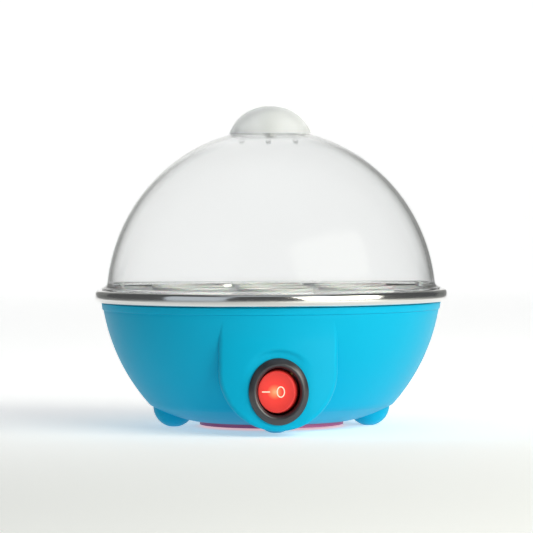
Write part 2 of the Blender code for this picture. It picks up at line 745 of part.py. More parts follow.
def switch_tab_tip(at):
    slack = math.sin(CONTACT_TILT) * TAB_PITCH if at else 0.0
    return contact_y() + slack + 2 * GAP


def contact_y():
    return ROCKER_Y + ROCKER_HEIGHT + LOOSE + 2 * GAP


def make_switch_body():
    depth = SWITCH_BACK_Y - BEZEL_BACK_Y
    well = WELL_HALF
    outer = BEZEL_HALF_WIDTH
    thick = BEZEL_THICK
    body = turned("switch_body", [
        (0.0, WELL_FLOOR - depth), (well, WELL_FLOOR - depth), (well, thick * 0.6), (well + 1.2 * MM, thick),
        (well + 2.0 * MM, thick), (outer - LOOSE, thick * 0.7), (outer, thick * 0.3), (outer, 0.0),
        (SWITCH_BODY_HALF, 0.0), (SWITCH_BODY_HALF, -depth), (0.0, -depth),
    ], black_plastic(), steps=ROUND_MEDIUM)
    face_front(body, BEZEL_BACK_Y)
    pin_reach = (well + SWITCH_BODY_HALF) / 2 * OVAL + 2 * GAP
    cut(body, upright("pin_sockets", (0.0, ROCKER_Y), SWITCH_Z - pin_reach, SWITCH_Z + pin_reach,
                      ROCKER_PIN_RADIUS + GAP))
    for at in (-1, 0, 1):
        low, high = tab_box(at)
        cut(body, box(f"tab_slot_{at + 2}", [value - GAP for value in low], [value + GAP for value in high]))


def tab_box(at):
    half_thick = LOOSE / 2
    half_wide = PLUNGER_Z / 2
    middle = SWITCH_Z + PLUNGER_Z
    low = (at * TAB_PITCH - half_thick, switch_tab_tip(at), middle - half_wide)
    high = (at * TAB_PITCH + half_thick, SWITCH_BACK_Y + TAB_LENGTH, middle + half_wide)
    return low, high


def make_rocker():
    face = ROCKER_FACE_HALF
    skirt = ROCKER_SKIRT_HALF
    wall = ROCKER_WALL
    height = ROCKER_HEIGHT
    rocker = turned("switch_rocker", [
        (0.0, height), (face - LOOSE, height), (face, height - LOOSE), (skirt, LOOSE), (skirt, -LOOSE),
        (skirt - wall, -LOOSE), (skirt - wall, LOOSE), (face - wall, height - 2 * wall),
        (0.0, height - wall),
    ], red_plastic(), steps=ROUND_MEDIUM)
    face_front(rocker, ROCKER_Y, -ROCKER_TILT)
    reach = (WELL_HALF + SWITCH_BODY_HALF) / 2 * OVAL
    for name, way in (("upper", 1), ("lower", -1)):
        start = SWITCH_Z + way * (skirt - wall / 2) * OVAL
        join(rocker, upright(f"{name}_pin", (0.0, ROCKER_Y), *sorted((start, SWITCH_Z + way * reach)),
                             ROCKER_PIN_RADIUS))
    boss_radius = 2 * PLUNGER_RADIUS
    top = height - wall / 2
    join(rocker, rod("plunger_boss", rocker_point(0.0, top, PLUNGER_Z), rocker_point(0.0, 0.0, PLUNGER_Z),
                     boss_radius))
    spring_top = height - 2 * wall
    cut(rocker, rod("plunger_bore", rocker_point(0.0, spring_top, PLUNGER_Z),
                    rocker_point(0.0, -LOOSE, PLUNGER_Z), PLUNGER_RADIUS + GAP))
    middle = height / 4
    rod("switch_plunger", rocker_point(0.0, middle, PLUNGER_Z),
        rocker_point(0.0, -height - LOOSE, PLUNGER_Z), PLUNGER_RADIUS, brass(), steps=12)
    make_spring(middle + GAP * 1.5, spring_top - GAP * 1.5)


def make_spring(low, high):
    coils = 3
    route = []
    wire = GAP / 1.5
    for at in range(coils * 6 + 1):
        angle = math.tau * at / 6
        forward = low + (high - low) * at / (coils * 6)
        reach = PLUNGER_RADIUS - wire
        route.append(rocker_point(reach * math.cos(angle), forward, PLUNGER_Z + reach * math.sin(angle)))
    tube("plunger_spring", route, wire, steel(), sides=1)


def make_contacts():
    middle = SWITCH_Z + PLUNGER_Z
    reach = TAB_PITCH + LOOSE
    contact = box("switch_contact", (-reach, 0.0, -PLUNGER_RADIUS), (reach, LOOSE / 2, PLUNGER_RADIUS),
                  brass())
    contact.location = (0.0, contact_y(), middle)
    contact.rotation_euler = (0.0, 0.0, CONTACT_TILT)
    names = {-1: "left", 0: "middle", 1: "right"}
    for at, name in names.items():
        low, high = tab_box(at)
        box(f"switch_tab_{name}", low, high, brass())
        start = SWITCH_BACK_Y + 2 * LOOSE
        end = SWITCH_BACK_Y + TAB_LENGTH + 2 * LOOSE
        half = PLUNGER_Z / 2 + LOOSE + GAP
        sleeve = box(f"tab_sleeve_{name}", (at * TAB_PITCH - 3 * LOOSE, start, middle - half),
                     (at * TAB_PITCH + 3 * LOOSE, end, middle + half),
                     wire_cover("sleeve", (0.75, 0.2, 0.15)))
        cut(sleeve, box(f"sleeve_bore_{name}", (low[0] - GAP, start - LOOSE, low[2] - GAP),
                        (high[0] + GAP, high[1] + GAP, high[2] + GAP)))
    lamp_x = -TAB_PITCH / 3
    base = SWITCH_BACK_Y - WELL_FLOOR - GAP
    rod("switch_lamp", (lamp_x, base, SWITCH_Z), (lamp_x, base - TAB_PITCH, SWITCH_Z), PLUNGER_RADIUS * 1.4,
        glass(), end_radius=PLUNGER_RADIUS)


# Wiring inside the base

def make_wires():
    sleeve_y = SWITCH_BACK_Y + TAB_LENGTH + 2 * LOOSE + WIRE_END
    turn_y = sleeve_y + 5 * MM
    tab_z = SWITCH_Z + PLUNGER_Z
    leg_z = PLATE_BOTTOM_Z - LOOSE - ELEMENT_RADIUS * 2.4 - WIRE_END
    leg_x = ELEMENT_CIRCLE * math.sin(ELEMENT_GAP_ANGLE)
    leg_y = ELEMENT_CIRCLE * math.cos(ELEMENT_GAP_ANGLE)
    gland_y = FOOT_CIRCLE + WALL
    fuse_x = FUSE_LENGTH / 2 + WIRE_END
    fuse_z = PLATE_BOTTOM_Z - 2 * GAP - FUSE_RADIUS * 1.5
    thermostat_y = THERMOSTAT_Y - THERMOSTAT_RADIUS - 2 * LOOSE
    thermostat_z = PLATE_BOTTOM_Z - THERMOSTAT_HEIGHT / 2
    tag_x = -STRAP_POST * 0.68
    tag_z = STRAP_Z + STRAP_THICK + LOOSE + WIRE_RADIUS + 2 * GAP
    routes = {
        "wire_element": ((0.65, 0.1, 0.08), [
            (-TAB_PITCH, sleeve_y, tab_z), (-TAB_PITCH, turn_y, 24 * MM), (-24 * MM, -24 * MM, 18.5 * MM),
            (-26 * MM, 10 * MM, 18 * MM), (-leg_x, leg_y, 16 * MM), (-leg_x, leg_y, leg_z)]),
        "wire_fuse": ((0.65, 0.1, 0.08), [
            (0.0, sleeve_y, tab_z), (1 * MM, turn_y, 24 * MM), (9 * MM, -28 * MM, 19 * MM),
            (14 * MM, -18 * MM, 24 * MM), (fuse_x + 4 * MM, FUSE_Y, fuse_z), (fuse_x, FUSE_Y, fuse_z)]),
        "wire_link": ((0.65, 0.1, 0.08), [
            (-fuse_x, FUSE_Y, fuse_z), (-fuse_x - 5 * MM, FUSE_Y, fuse_z - 3 * MM),
            (-13 * MM, -6 * MM, 15 * MM),
            (-5 * MM, 6 * MM, 16 * MM), (-4 * MM, thermostat_y, 21 * MM),
            (-4 * MM, thermostat_y, thermostat_z)]),
        "wire_live": ((0.35, 0.16, 0.05), [
            (-2.4 * MM, gland_y, GLAND_Z), (-5 * MM, 44 * MM, 18 * MM), (-7 * MM, 33 * MM, 16 * MM),
            (2 * MM, 14 * MM, 15 * MM), (4 * MM, thermostat_y, 21 * MM),
            (4 * MM, thermostat_y, thermostat_z)]),
        "wire_neutral": ((0.05, 0.2, 0.6), [
            (2.4 * MM, gland_y, GLAND_Z), (5 * MM, 45 * MM, 18.5 * MM), (12 * MM, 38 * MM, 15.5 * MM),
            (leg_x, leg_y + MM, 16 * MM), (leg_x, leg_y, leg_z)]),
        "wire_lamp": ((0.05, 0.2, 0.6), [
            (TAB_PITCH, sleeve_y, tab_z), (TAB_PITCH + MM, turn_y, 24 * MM), (26 * MM, -24 * MM, 18 * MM),
            (27 * MM, 8 * MM, 18 * MM), (leg_x + 6 * MM, leg_y, 15 * MM), (leg_x + 3.5 * MM, leg_y, leg_z)]),
        "wire_earth": ((0.2, 0.5, 0.1), [
            (0.0, gland_y, GLAND_Z + 3 * MM), (-7 * MM, 44 * MM, 23 * MM), (-24 * MM, 40 * MM, 24 * MM),
            (-40 * MM, 24 * MM, 26 * MM), (tag_x, STRAP_WIDTH * 0.8, tag_z), (tag_x, 0.0, tag_z)]),
    }
    for name, (colour, points) in routes.items():
        tube(name, bent_route(points), WIRE_RADIUS, wire_cover(name, colour), sides=1)


# The egg tray and the lid

def egg_places():
    """The six holes around the middle one."""
    return [polar(EGG_CIRCLE, -QUARTER + at * math.tau / 6) for at in range(6)]


def make_tray():
    edge = PAN_MOUTH_RADIUS - LOOSE
    top = TRAY_Z + TRAY_THICK
    collar_top = top + EGG_COLLAR_HEIGHT
    collar = EGG_HOLE_RADIUS + EGG_COLLAR_WALL
    tray = turned("egg_tray", [
        (EGG_HOLE_RADIUS + LOOSE, collar_top), (collar, collar_top), (collar + GAP, top),
        (edge - LOOSE / 2, top), (edge, top - LOOSE / 2), (edge, TRAY_Z), (EGG_HOLE_RADIUS - LOOSE, TRAY_Z),
    ], tray_plastic(), ring=True)
    tab_x = PAN_MOUTH_RADIUS - TRAY_RIM_WIDTH
    for name, way in (("left", -1), ("right", 1)):
        across = sorted((way * tab_x, way * (tab_x - TRAY_THICK)))
        join(tray, box(f"tab_{name}", (across[0], -TRAY_SLOT_LENGTH, TRAY_Z + LOOSE),
                       (across[1], TRAY_SLOT_LENGTH, top + EGG_COLLAR_HEIGHT + TRAY_STEP)))
    for at, place in enumerate(egg_places()):
        join(tray, upright(f"collar_{at + 1}", place, TRAY_Z + LOOSE, collar_top, collar + GAP,
                           end_radius=collar, steps=18))
        cut(tray, upright(f"egg_hole_{at + 1}", place, TRAY_Z - LOOSE, collar_top + LOOSE,
                          EGG_HOLE_RADIUS - LOOSE, end_radius=EGG_HOLE_RADIUS + LOOSE, steps=18))
    slot_start = EGG_CIRCLE + EGG_HOLE_RADIUS - TRAY_STEP
    for at in range(6):
        angle = at * math.tau / 6
        slot = box(f"steam_slot_{at + 1}", (slot_start, -TRAY_SLOT / 2, TRAY_Z - LOOSE),
                   (slot_start + TRAY_SLOT_LENGTH, TRAY_SLOT / 2, top + LOOSE))
        slot.rotation_euler = (0.0, 0.0, angle)
        cut(tray, slot)


def dome_radius(height, inset=0.0):
    share = (height - DOME_CENTRE_Z) / (DOME_HALF_HEIGHT - inset)
    return (DOME_HALF_WIDTH - inset) * math.sqrt(max(1 - share ** 2, 0.0))


def dome_path(inset, start, low, steps):
    """The dome's side, from the radius start near its top down to the height low."""
    wide = DOME_HALF_WIDTH - inset
    tall = DOME_HALF_HEIGHT - inset
    first = math.acos(start / wide)
    last = math.asin((low - DOME_CENTRE_Z) / tall)
    path = []
    for step in range(steps + 1):
        angle = first + (last - first) * step / steps
        path.append((wide * math.cos(angle), DOME_CENTRE_Z + tall * math.sin(angle)))
    return path


def make_dome():
    hole = KNOB_SCREW_RADIUS + GAP
    lip = PAN_MOUTH_RADIUS - LOOSE
    lip_inner = dome_radius(LID_SEAT_Z, DOME_WALL)
    flare_low = LID_SEAT_Z + GAP
    outer = dome_path(0.0, hole, DOME_FLARE_Z, 10)
    flare = [
        (dome_radius(DOME_FLARE_Z) + GAP, (DOME_FLARE_Z + flare_low) / 2 + LOOSE / 2),
        ((dome_radius(DOME_FLARE_Z) + DOME_FLARE_RADIUS) / 2, flare_low + LOOSE),
        (DOME_FLARE_RADIUS, flare_low), (DOME_FLARE_RADIUS, LID_SEAT_Z),
    ]
    rim = [
        (lip, LID_SEAT_Z), (lip, PAN_RIM_TOP - LID_LIP_DEPTH), (lip_inner, PAN_RIM_TOP - LID_LIP_DEPTH),
    ]
    inner = list(reversed(dome_path(DOME_WALL, hole, DOME_FLARE_Z, 8)))
    dome = turned("lid_dome", [*outer, *flare, *rim, *inner], clear_plastic(), ring=True)
    for at in range(3):
        place = polar(VENT_CIRCLE, QUARTER + (at - 1) * math.radians(35))
        cut(dome, upright(f"vent_{at + 1}", place, KNOB_TOP_Z - KNOB_SPHERE * 2, KNOB_TOP_Z, VENT_RADIUS,
                          steps=12))


def make_knob():
    lean = KNOB_EDGE_RADIUS - math.sqrt(
        KNOB_SPHERE ** 2 - (dome_height(KNOB_EDGE_RADIUS) + GAP - KNOB_TOP_Z + KNOB_SPHERE) ** 2)
    centre_z = KNOB_TOP_Z - KNOB_SPHERE
    edge_z = dome_height(KNOB_EDGE_RADIUS) + GAP
    low = math.degrees(math.asin((edge_z - centre_z) / KNOB_SPHERE))
    inner = KNOB_SPHERE - KNOB_WALL
    inner_low = math.degrees(math.asin((edge_z + GAP - centre_z) / inner))
    knob = turned("lid_knob", [
        (0.0, KNOB_TOP_Z), *arc((lean, centre_z), KNOB_SPHERE, 84, low, 6),
        *arc((lean, centre_z), inner, inner_low, 84, 5), (0.0, KNOB_TOP_Z - KNOB_WALL),
    ], frosted_plastic(), steps=ROUND_MEDIUM)
    apex = DOME_CENTRE_Z + DOME_HALF_HEIGHT
    post_top = KNOB_TOP_Z - KNOB_WALL / 2
    join(knob, upright("knob_post", (0.0, 0.0), apex + GAP, post_top, KNOB_POST_RADIUS))
    screw_tip = KNOB_TOP_Z - 2 * KNOB_WALL
    cut(knob, upright("knob_bore", (0.0, 0.0), apex - LOOSE, screw_tip + GAP, KNOB_SCREW_RADIUS + GAP,
                      steps=12))
    screw("knob_screw", (0.0, 0.0), apex - DOME_WALL - 2 * GAP, screw_tip, steel())


def dome_height(radius):
    return DOME_CENTRE_Z + DOME_HALF_HEIGHT * math.sqrt(1 - (radius / DOME_HALF_WIDTH) ** 2)


clear_scene()
parts = new_collection("egg_cooker")
cutters = new_collection("cutters")
make_housing()
make_feet()
make_cover()
make_gland()
make_pan()
heater = make_heater()
make_thermostat(heater)
make_fuse()
make_switch_body()
make_rocker()
make_contacts()
make_wires()
make_tray()
make_dome()
make_knob()
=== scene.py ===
import json
import math

import bmesh
import bpy
from mathutils import Matrix, Vector


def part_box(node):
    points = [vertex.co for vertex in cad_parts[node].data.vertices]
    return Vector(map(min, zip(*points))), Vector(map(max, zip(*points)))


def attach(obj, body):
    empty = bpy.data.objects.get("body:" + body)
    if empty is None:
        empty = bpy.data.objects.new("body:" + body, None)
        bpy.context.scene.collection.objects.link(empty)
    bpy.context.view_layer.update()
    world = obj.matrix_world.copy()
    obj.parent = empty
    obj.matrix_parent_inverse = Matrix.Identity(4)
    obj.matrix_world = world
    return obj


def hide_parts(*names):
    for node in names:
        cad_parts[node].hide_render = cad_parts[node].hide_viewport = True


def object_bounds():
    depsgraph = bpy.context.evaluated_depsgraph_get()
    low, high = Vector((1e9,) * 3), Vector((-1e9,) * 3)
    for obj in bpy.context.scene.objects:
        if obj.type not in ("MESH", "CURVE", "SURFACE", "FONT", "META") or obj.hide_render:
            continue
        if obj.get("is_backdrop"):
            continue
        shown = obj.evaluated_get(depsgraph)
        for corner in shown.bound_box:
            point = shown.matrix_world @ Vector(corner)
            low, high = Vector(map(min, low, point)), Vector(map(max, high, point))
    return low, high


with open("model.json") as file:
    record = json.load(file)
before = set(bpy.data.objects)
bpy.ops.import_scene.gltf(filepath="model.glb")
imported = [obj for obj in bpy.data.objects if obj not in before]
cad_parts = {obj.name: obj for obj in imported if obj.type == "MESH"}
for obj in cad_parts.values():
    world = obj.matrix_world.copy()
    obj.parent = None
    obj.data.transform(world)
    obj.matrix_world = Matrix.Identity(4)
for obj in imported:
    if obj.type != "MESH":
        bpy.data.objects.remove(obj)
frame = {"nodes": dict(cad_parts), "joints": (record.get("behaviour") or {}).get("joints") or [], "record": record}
cad_low, cad_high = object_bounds()
MM = 0.001

# %% [markdown]
# ## Measuring the frame
# Sizes are read from the frame wherever a piece shows them, so that the finer pieces stay where
# the exact ones are. A low and a high corner are enough for a round piece: half its width is its
# radius and its ends are its heights.
# %% Measures from the frame


def bottom_of(node):
    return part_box(node)[0].z


def top_of(node):
    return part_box(node)[1].z


def radius_of(node):
    low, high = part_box(node)
    return (high.x - low.x) / 2


pan_top = top_of("heating_pan")
rim_radius = radius_of("heating_pan")
housing_top = top_of("base_housing")
tray_low = bottom_of("egg_tray")
tray_radius = radius_of("egg_tray")
lid_radius = radius_of("lid_dome")
print(f"rim radius {rim_radius / MM:.1f} mm, pan top {pan_top / MM:.1f} mm")
print(f"lid radius {lid_radius / MM:.1f} mm")

# %% [markdown]
# ## Finishes
# A finish is a small set of shader values: colour, how rough, how metallic, how clear. Moulded
# plastic isn't perfectly even, so a faint noise moves its roughness a little, which breaks up
# the reflections as on the real thing. It costs three nodes and no picture.
# %% A maker of finishes
finishes = {}


def finish(slot, colour, rough, uneven=0.0, grain=300.0, **sockets):
    made = bpy.data.materials.new(slot)
    made.use_nodes = True
    nodes = made.node_tree.nodes
    shader = nodes["Principled BSDF"]
    shader.inputs["Base Color"].default_value = (*colour, 1.0)
    shader.inputs["Roughness"].default_value = rough
    for name, value in sockets.items():
        shader.inputs[name.replace("_", " ")].default_value = value
    if uneven:
        place = nodes.new("ShaderNodeTexCoord")
        noise = nodes.new("ShaderNodeTexNoise")
        noise.inputs["Scale"].default_value = grain
        spread = nodes.new("ShaderNodeMapRange")
        spread.inputs["To Min"].default_value = rough - uneven
        spread.inputs["To Max"].default_value = rough + uneven
        links = made.node_tree.links
        links.new(place.outputs["Object"], noise.inputs["Vector"])
        links.new(noise.outputs["Fac"], spread.inputs["Value"])
        links.new(spread.outputs["Result"], shader.inputs["Roughness"])
    finishes[slot] = made
    return made


# %% [markdown]
# The plastics come first. The base is a strong cyan blue with a soft gloss, the cover under it is
# pink, and the feet are moulded in the same blue as the base.
# %% Plastics
finish("blue_plastic", (0.0, 0.38, 0.6), 0.4, 0.03, Specular_IOR_Level=0.1)
finish("pink_plastic", (0.52, 0.11, 0.26), 0.45, 0.04)
finish("tray_plastic", (0.86, 0.86, 0.85), 0.38, 0.04, Subsurface_Weight=0.15, Subsurface_Scale=0.004)
finish("black_plastic", (0.016, 0.016, 0.02), 0.3, 0.03, Specular_IOR_Level=0.8)
finish("red_plastic", (0.8, 0.035, 0.03), 0.3, Coat_Weight=0.3)
finish("sleeve_red", (0.62, 0.06, 0.04), 0.5)
finish("black_rubber", (0.03, 0.03, 0.032), 0.75, 0.05)
finish("ceramic_body", (0.8, 0.78, 0.72), 0.6, 0.05)
print("plastics:", ", ".join(finishes))

# %% [markdown]
# The dome is clear and the knob a little milky. Real light paths through the thickness of the
# mesh give the darker edge of a dome for free, so the finish is only a transmission value and a
# refractive index, kept a bit below that of the real plastic so the edge doesn't turn black.
# %% Clear plastics and the lamp
finish("clear_plastic", (0.93, 0.935, 0.935), 0.1, Transmission_Weight=1.0, IOR=1.16, Specular_IOR_Level=0.3)
finish("frosted_plastic", (0.985, 0.99, 0.99), 0.8, Transmission_Weight=0.78, IOR=1.12)
finish("lamp_glass", (0.95, 0.75, 0.5), 0.1, Transmission_Weight=0.9)

# %% [markdown]
# The metals differ in how much they blur what they reflect: the polished rim least, the plated
# screws more, the cast plate most.
# %% Metals and wires
finish("pan_steel", (0.74, 0.73, 0.71), 0.13, 0.03, 500.0, Metallic=1.0)
finish("cast_aluminium", (0.72, 0.72, 0.73), 0.5, 0.06, 900.0, Metallic=1.0)
finish("brass", (0.72, 0.52, 0.2), 0.3, 0.04, Metallic=1.0)
finish("zinc_steel", (0.62, 0.62, 0.61), 0.3, 0.05, Metallic=1.0)
finish("wire_red", (0.55, 0.02, 0.02), 0.45)
finish("wire_brown", (0.14, 0.05, 0.02), 0.45)
finish("wire_blue", (0.02, 0.09, 0.5), 0.45)
finish("wire_green", (0.1, 0.35, 0.03), 0.45)
print(len(finishes), "finishes")

# %% [markdown]
# ## Dressing the frame
# Every frame piece first gets its own finish and smooth shading. The pieces that stay hidden
# inside, such as the heater and the wires, need no more than that.
# %% Finish every frame piece
slot_of = {part["node"]: part["material_slot"] for part in frame["record"]["subparts"]}
for name, node in frame["nodes"].items():
    node.data.materials.clear()
    node.data.materials.append(finishes[slot_of[name]])
    node.data.shade_smooth()
    node.data.set_sharp_from_angle(angle=math.radians(35))
print("dressed", len(slot_of), "pieces")

# %% [markdown]
# ## Tools for finer pieces
# Nearly every seen piece is turned, so the main tool is a lathe: it spins an outline of radius
# and height. Corners of the outline are eased first, since no moulded or rolled edge is sharp.
# %% Easing and turning an outline


def eased(outline, width, closed=True, count=4):
    """Replaces each clear corner of an outline with a short curve of about that width."""
    path = []
    total = len(outline)
    for at, point in enumerate(outline):
        here = Vector(point)
        if not closed and at in (0, total - 1):
            path.append(here)
            continue
        back = Vector(outline[at - 1]) - here
        ahead = Vector(outline[(at + 1) % total]) - here
        if here.x < 1e-6 or back.angle(ahead) > math.radians(160):
            path.append(here)
            continue
        reach = min(width, back.length * 0.45, ahead.length * 0.45)
        start = here + back.normalized() * reach
        end = here + ahead.normalized() * reach
        for step in range(count + 1):
            share = step / count
            path.append(start.lerp(here, share).lerp(here.lerp(end, share), share))
    return path


def turned(outline, steps=128, closed=True):
    """Spins an outline of radius and height about Z."""
    form = bmesh.new()
    rings = []
    for radius, height in outline:
        if radius < 1e-6:
            rings.append([form.verts.new((0.0, 0.0, height))] * steps)
            continue
        angles = [math.tau * at / steps for at in range(steps)]
        rings.append([form.verts.new((radius * math.cos(a), radius * math.sin(a), height)) for a in angles])
    pairs = list(zip(rings, rings[1:]))
    if closed:
        pairs.append((rings[-1], rings[0]))
    for upper, lower in pairs:
        for at in range(steps):
            after = (at + 1) % steps
            corners = [upper[at], upper[after], lower[after], lower[at]]
            unique = list(dict.fromkeys(corners))
            if len(unique) > 2:
                form.faces.new(unique)
    bmesh.ops.recalc_face_normals(form, faces=form.faces)
    return form


def arc(centre, radius, first, last, count):
    """Points on a circle, between two angles in degrees."""
    path = []
    for step in range(count + 1):
        angle = math.radians(first + (last - first) * step / count)
        path.append((centre[0] + radius * math.cos(angle), centre[1] + radius * math.sin(angle)))
    return path


# %% [markdown]
# A finished piece rides on the body that carries it, takes its finish, and stands for
# the plain frame piece, which then isn't shown. One function does all of that, so no piece can
# be left half made. Cutters are shapes that are only taken away from others.
# %% Placing a finished piece


def placed(name, form, body, slot, *stands_for, sharp=35, look=None):
    mesh = bpy.data.meshes.new(name)
    form.to_mesh(mesh)
    form.free()
    mesh.materials.append(finishes[look or slot])
    mesh.shade_smooth()
    mesh.set_sharp_from_angle(angle=math.radians(sharp))
    piece = bpy.data.objects.new(name, mesh)
    bpy.context.scene.collection.objects.link(piece)
    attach(piece, body)
    if stands_for:
        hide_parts(*stands_for)
    print(f"{name}: {len(mesh.polygons)} faces")
    return piece


def rod(start, end, radius, end_radius=None, steps=48):
    """A straight round bar between two points, or a cone when its ends differ."""
    along = Vector(end) - Vector(start)
    form = bmesh.new()
    bmesh.ops.create_cone(form, cap_ends=True, segments=steps, radius1=radius,
                          radius2=radius if end_radius is None else end_radius, depth=along.length)
    turn = along.to_track_quat("Z", "Y").to_matrix().to_4x4()
    middle = Matrix.Translation((Vector(start) + Vector(end)) / 2)
    bmesh.ops.transform(form, matrix=middle @ turn, verts=form.verts)
    return form


def block(low, high):
    form = bmesh.new()
    bmesh.ops.create_cube(form, size=1.0)
    size = [b - a for a, b in zip(low, high)]
    middle = Matrix.Translation([(a + b) / 2 for a, b in zip(low, high)])
    bmesh.ops.transform(form, matrix=middle @ Matrix.Diagonal((*size, 1.0)), verts=form.verts)
    return form


def carved(form, others, how="DIFFERENCE"):
    """Takes other forms away from a form, or joins them to it."""
    holders = []
    for shape in [form, *others]:
        mesh = bpy.data.meshes.new("shape")
        shape.to_mesh(mesh)
        shape.free()
        holder = bpy.data.objects.new("shape", mesh)
        bpy.context.scene.collection.objects.link(holder)
        holders.append(holder)
    body = holders[0]
    for other in holders[1:]:
        step = body.modifiers.new("step", "BOOLEAN")
        step.operation = how
        step.solver = "EXACT"
        step.object = other
    evaluated = body.evaluated_get(bpy.context.evaluated_depsgraph_get())
    mesh = bpy.data.meshes.new_from_object(evaluated)
    result = bmesh.new()
    result.from_mesh(mesh)
    for holder in holders:
        bpy.data.objects.remove(holder, do_unlink=True)
    bpy.data.meshes.remove(mesh)
    return result


# %% [markdown]
# ## The steel pan
# The pan is pressed from thin sheet and its edge is rolled outward into a bead, which is the
# bright ring around the cooker. One outline runs up the inside, around the bead and down the
# outside; the thickness of the sheet keeps the two sides apart.
# %% Heating pan
bead = 3.1 * MM
sheet = 0.8 * MM
bead_centre = (rim_radius - bead, pan_top - bead)
mouth = rim_radius - 2 * bead
ledge_width = 3.2 * MM
ledge_z = pan_top - 5.2 * MM
floor_z = bottom_of("heating_pan") + sheet
floor_radius = 65.0 * MM
floor_corner = 10.0 * MM


def bead_curve(radius, first, last, count):
    """The rolled edge, a circle pressed a little square so that its outer face stands upright."""
    path = []
    for step in range(count + 1):
        angle = math.radians(first + (last - first) * step / count)
        square = [math.copysign(abs(part) ** 0.62, part) for part in (math.cos(angle), math.sin(angle))]
        path.append((bead_centre[0] + radius * square[0], bead_centre[1] + radius * square[1]))
    return path


def pan_side(out):
    """The inside of the pan, or its outside when moved out by the sheet."""
    return [
        (0.0, floor_z - out),
        *arc((floor_radius, floor_z + floor_corner), floor_corner + out, -90, -8, 10),
        (mouth - ledge_width + out, ledge_z - 0.8 * MM - out),
        (mouth - ledge_width + 0.8 * MM + out / 2, ledge_z - out),
        (mouth - 0.4 * MM + out / 2, ledge_z - out),
        (mouth + out, ledge_z + 0.4 * MM - out / 2),
        *bead_curve(bead - out, 180, -120, 48),
    ]


pan = turned([*pan_side(0.0), *reversed(pan_side(sheet))], 160)
placed("pan", pan, "base", "pan_steel", "heating_pan")

# %% [markdown]
# ## The housing
# The bowl is an arc that swells outward and then turns under. A narrow collar runs around its
# top, just below the rim. Its wall is the same outline again, moved in by the thickness of the
# plastic, and the opening underneath has a ledge that the cover sits in.
# %% Bowl
wall = 2.4 * MM
swell_radius = 95.17 * MM
swell_centre = (85.2 * MM - swell_radius, 74.5 * MM)
turn_z = 11.0 * MM
bowl_low = bottom_of("base_housing")
cover_radius = radius_of("base_cover")
opening = cover_radius + 0.6 * MM
collar_tall = 3.4 * MM
collar_proud = 0.5 * MM


def bowl_radius(height):
    return swell_centre[0] + math.sqrt(swell_radius ** 2 - (height - swell_centre[1]) ** 2)


def bowl_side(top, inset):
    """The side of the bowl from a height down to its opening, moved in by an inset."""
    path = []
    for step in range(25):
        height = top + (turn_z - top) * step / 24
        lean = math.atan2(height - swell_centre[1], bowl_radius(height) - swell_centre[0])
        path.append((bowl_radius(height) - inset * math.cos(lean), height - inset * math.sin(lean)))
    outer = bowl_radius(turn_z)
    for step in range(1, 13):
        share = 1 - step / 12
        rise = (turn_z - bowl_low) * share ** 1.6 + inset
        path.append((opening + (outer - inset - opening) * share, bowl_low + rise))
    return path


collar_low = housing_top - collar_tall
rim_edge = bowl_radius(housing_top)
collar = eased([
    (rim_edge - wall, housing_top),
    (rim_edge + collar_proud, housing_top),
    (bowl_radius(collar_low) + collar_proud, collar_low),
    (bowl_radius(collar_low) - 0.1 * MM, collar_low - 0.3 * MM),
], 0.45 * MM, closed=False)
seat_z = top_of("base_cover") + 0.3 * MM
ledge_inner = cover_radius - 7.0 * MM
outline = [
    *collar, *bowl_side(collar_low - 0.6 * MM, 0.0), (opening, seat_z), (ledge_inner, seat_z),
    (ledge_inner, seat_z + wall), *reversed(bowl_side(collar_low, wall)),
]
bowl = turned(outline, 160)
print(f"bowl: {len(outline)} points around, opening {opening / MM:.1f} mm")

# %% [markdown]
# ## The fascia
# The switch sits in a tongue-shaped block that stands forward of the bowl. Its face is part of
# an upright cylinder, with a flat land around the switch. It could be cut out of a cylinder, but
# then its edge would be sharp: instead it is built of outlines, one inside the other, and the
# first few roll the edge over. The last one is the oval hole for the switch.
# %% Fascia face
fascia_radius = 82.3 * MM
fascia_half = 28.6 * MM
fascia_low = bowl_low
fascia_top = 56.0 * MM
land_y = -81.0 * MM
land_top = 40.5 * MM
land_radius = 18.6 * MM
land_step = 1.8 * MM
land_soft = 0.5 * MM
switch_z = (bottom_of("switch_body") + top_of("switch_body")) / 2
oval = 1.12
hole_half = 12.4 * MM
edge_round = 2.0 * MM
blend_depth = 1.6 * MM
room_back = -48.0 * MM


def face_y(across, height):
    """How far forward the fascia's face is at a place on it."""
    swept = -math.sqrt(fascia_radius ** 2 - across ** 2)
    away = math.hypot(across, height - switch_z) - land_radius
    share = min(max(away / land_step, 0.0), 1.0)
    share = share * share * (3 - 2 * share)
    meet = max(land_soft - abs(swept - land_y), 0.0) / land_soft
    land = max(swept, land_y) + meet * meet * land_soft / 4
    face = land * (1 - share) + swept * share
    bowl_y = 0.05 * MM - math.sqrt(bowl_radius(max(height, land_top)) ** 2 - across ** 2)
    near = max(blend_depth - abs(face - bowl_y), 0.0) / blend_depth
    return min(face, bowl_y) - near * near * blend_depth / 4


def back_y(across, height):
    """How far back the fascia's edge reaches: into the wall of the bowl, and further below the pan."""
    if height < bottom_of("heating_pan") - 3 * MM:
        return room_back
    return wall - 0.3 * MM - math.sqrt(bowl_radius(height) ** 2 - across ** 2)


